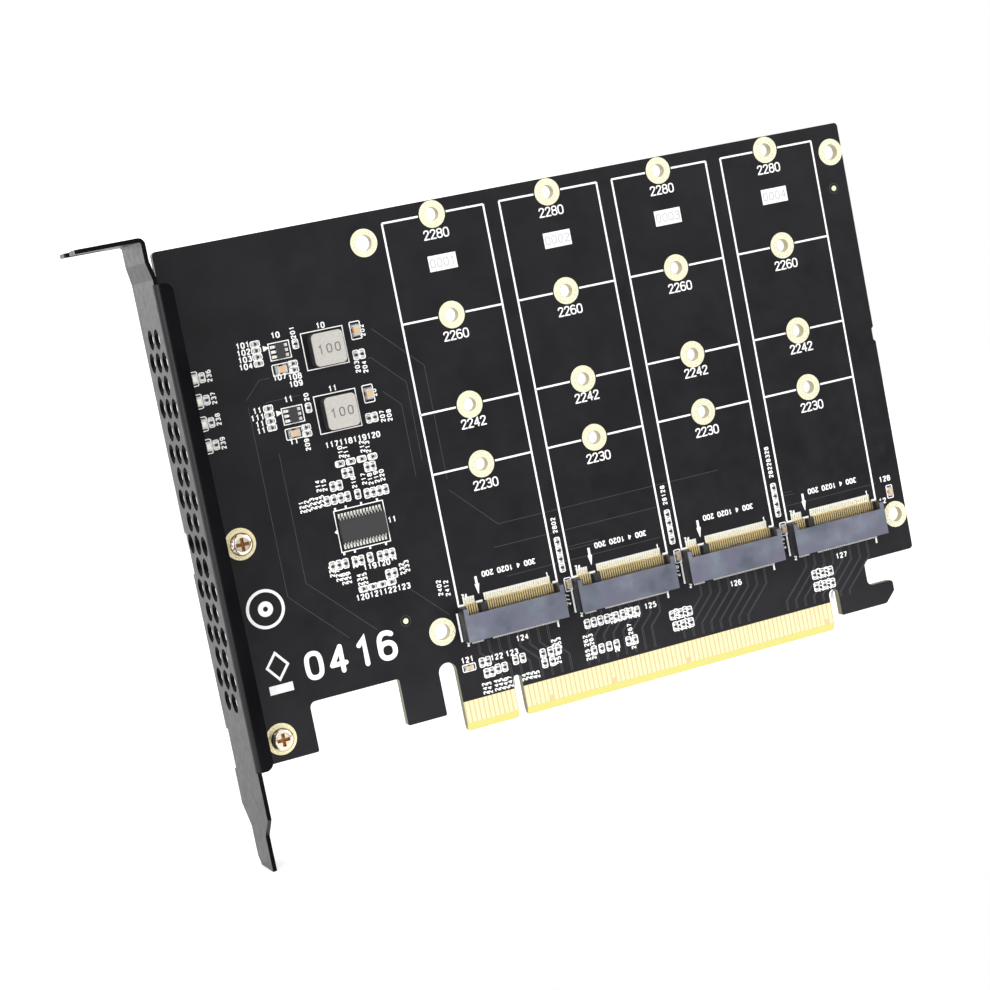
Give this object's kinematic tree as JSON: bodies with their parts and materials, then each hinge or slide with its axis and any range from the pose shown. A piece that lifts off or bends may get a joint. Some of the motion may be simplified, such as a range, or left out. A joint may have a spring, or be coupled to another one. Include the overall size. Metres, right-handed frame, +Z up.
{
  "type": "nvme adapter card",
  "caption": "Full-height expansion card with keyed gold edge contacts, a vented black slot bracket and a row of sockets that hold M.2 solid state drives flat on the board.",
  "frame": {"origin": "middle of the key notch at the bottom edge of the gold contacts, half way through the board's thickness", "axes": "+X along the card away from the bracket, +Y out of the board's plain back (the components are on the -Y face), +Z up from the edge contacts"},
  "size_m": [0.1657, 0.0176, 0.1209],
  "materials": {
    "board_black": "satin black solder mask",
    "contact_gold": "bright gold plating",
    "pad_gold": "pale gold plating",
    "bracket_black": "satin black coating on folded steel",
    "screw_gold": "bright yellow zinc plating",
    "socket_plastic": "satin black moulding",
    "ferrite": "smooth matt grey ferrite",
    "winding": "dark enamelled copper",
    "package_black": "matt moulded epoxy",
    "tinned": "satin tin plating",
    "light_lens": "milky clear resin",
    "capacitor_tan": "matt tan ceramic",
    "chip_dark": "matt dark ceramic",
    "print_white": "matt white printed ink"
  },
  "bodies": {
    "root": {"bracket_screw_lower": "screw_gold", "bracket_screw_upper": "screw_gold", "ceramic_capacitors": "capacitor_tan", "chip_terminals": "tinned", "circuit_board": "board_black", "clock_buffer": "package_black", "clock_buffer_leads": "tinned", "corner_hole_rings": "pad_gold", "drive_hole_rings_1": "pad_gold", "drive_hole_rings_2": "pad_gold", "drive_hole_rings_3": "pad_gold", "drive_hole_rings_4": "pad_gold", "drive_socket_1": "socket_plastic", "drive_socket_2": "socket_plastic", "drive_socket_3": "socket_plastic", "drive_socket_4": "socket_plastic", "edge_contacts_back": "contact_gold", "edge_contacts_front": "contact_gold", "inductor_coil_lower": "winding", "inductor_coil_upper": "winding", "inductor_core_lower": "ferrite", "inductor_core_upper": "ferrite", "regulator_leads_lower": "tinned", "regulator_leads_upper": "tinned", "regulator_lower": "package_black", "regulator_upper": "package_black", "screw_pads": "pad_gold", "sighting_marks": "pad_gold", "slot_bracket": "bracket_black", "small_chips": "chip_dark", "socket_contacts_1": "contact_gold", "socket_contacts_2": "contact_gold", "socket_contacts_3": "contact_gold", "socket_contacts_4": "contact_gold", "status_lights": "light_lens"}
  },
  "joints": []
}
